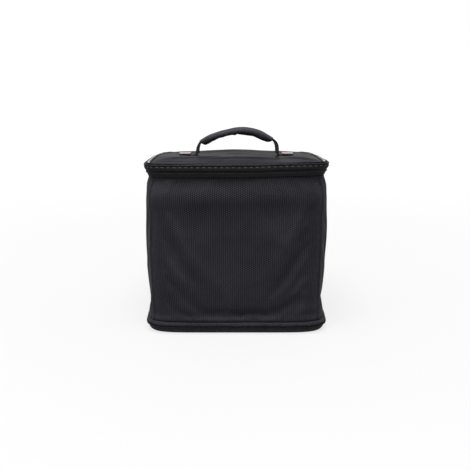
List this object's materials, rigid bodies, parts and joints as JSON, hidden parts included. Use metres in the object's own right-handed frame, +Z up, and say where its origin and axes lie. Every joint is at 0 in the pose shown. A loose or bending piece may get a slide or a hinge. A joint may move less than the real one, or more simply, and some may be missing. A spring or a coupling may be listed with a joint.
{
  "type": "helmet case",
  "caption": "Soft boxy padded cloth case for a helmet, with a zipped fold-back lid, a webbing carrying handle with a padded grip and a banded base.",
  "frame": {"origin": "on the floor, under the middle of the case", "axes": "+Z up, -Y is the front, +X is the right-hand side seen from the front"},
  "size_m": [0.3393, 0.3104, 0.3672],
  "materials": {
    "body_cloth": "coarse matt woven nylon, nearly black",
    "lid_cloth": "the same weave with a slight sheen",
    "zip_tape": "matt black tape",
    "zip_nylon": "black nylon, semi-matt",
    "webbing": "black ribbed webbing and grip cloth",
    "light_trim": "light grey woven tape with a sheen",
    "light_patch": "light soft plastic with a red edge"
  },
  "bodies": {
    "root": {"floor_panel": "body_cloth", "base_band": "body_cloth", "body_wall": "body_cloth", "seam_welt_right": "body_cloth", "seam_welt_left": "body_cloth", "hinge_strip": "body_cloth", "lid_panel": "lid_cloth", "zip_tape_upper": "zip_tape", "zip_tape_lower": "zip_tape", "zip_coil": "zip_nylon", "zip_slider": "zip_nylon", "side_trim_right": "light_trim", "side_trim_left": "light_trim", "handle_strap": "webbing", "handle_grip": "webbing", "anchor_patch_right": "light_patch", "anchor_patch_left": "light_patch"}
  },
  "joints": []
}
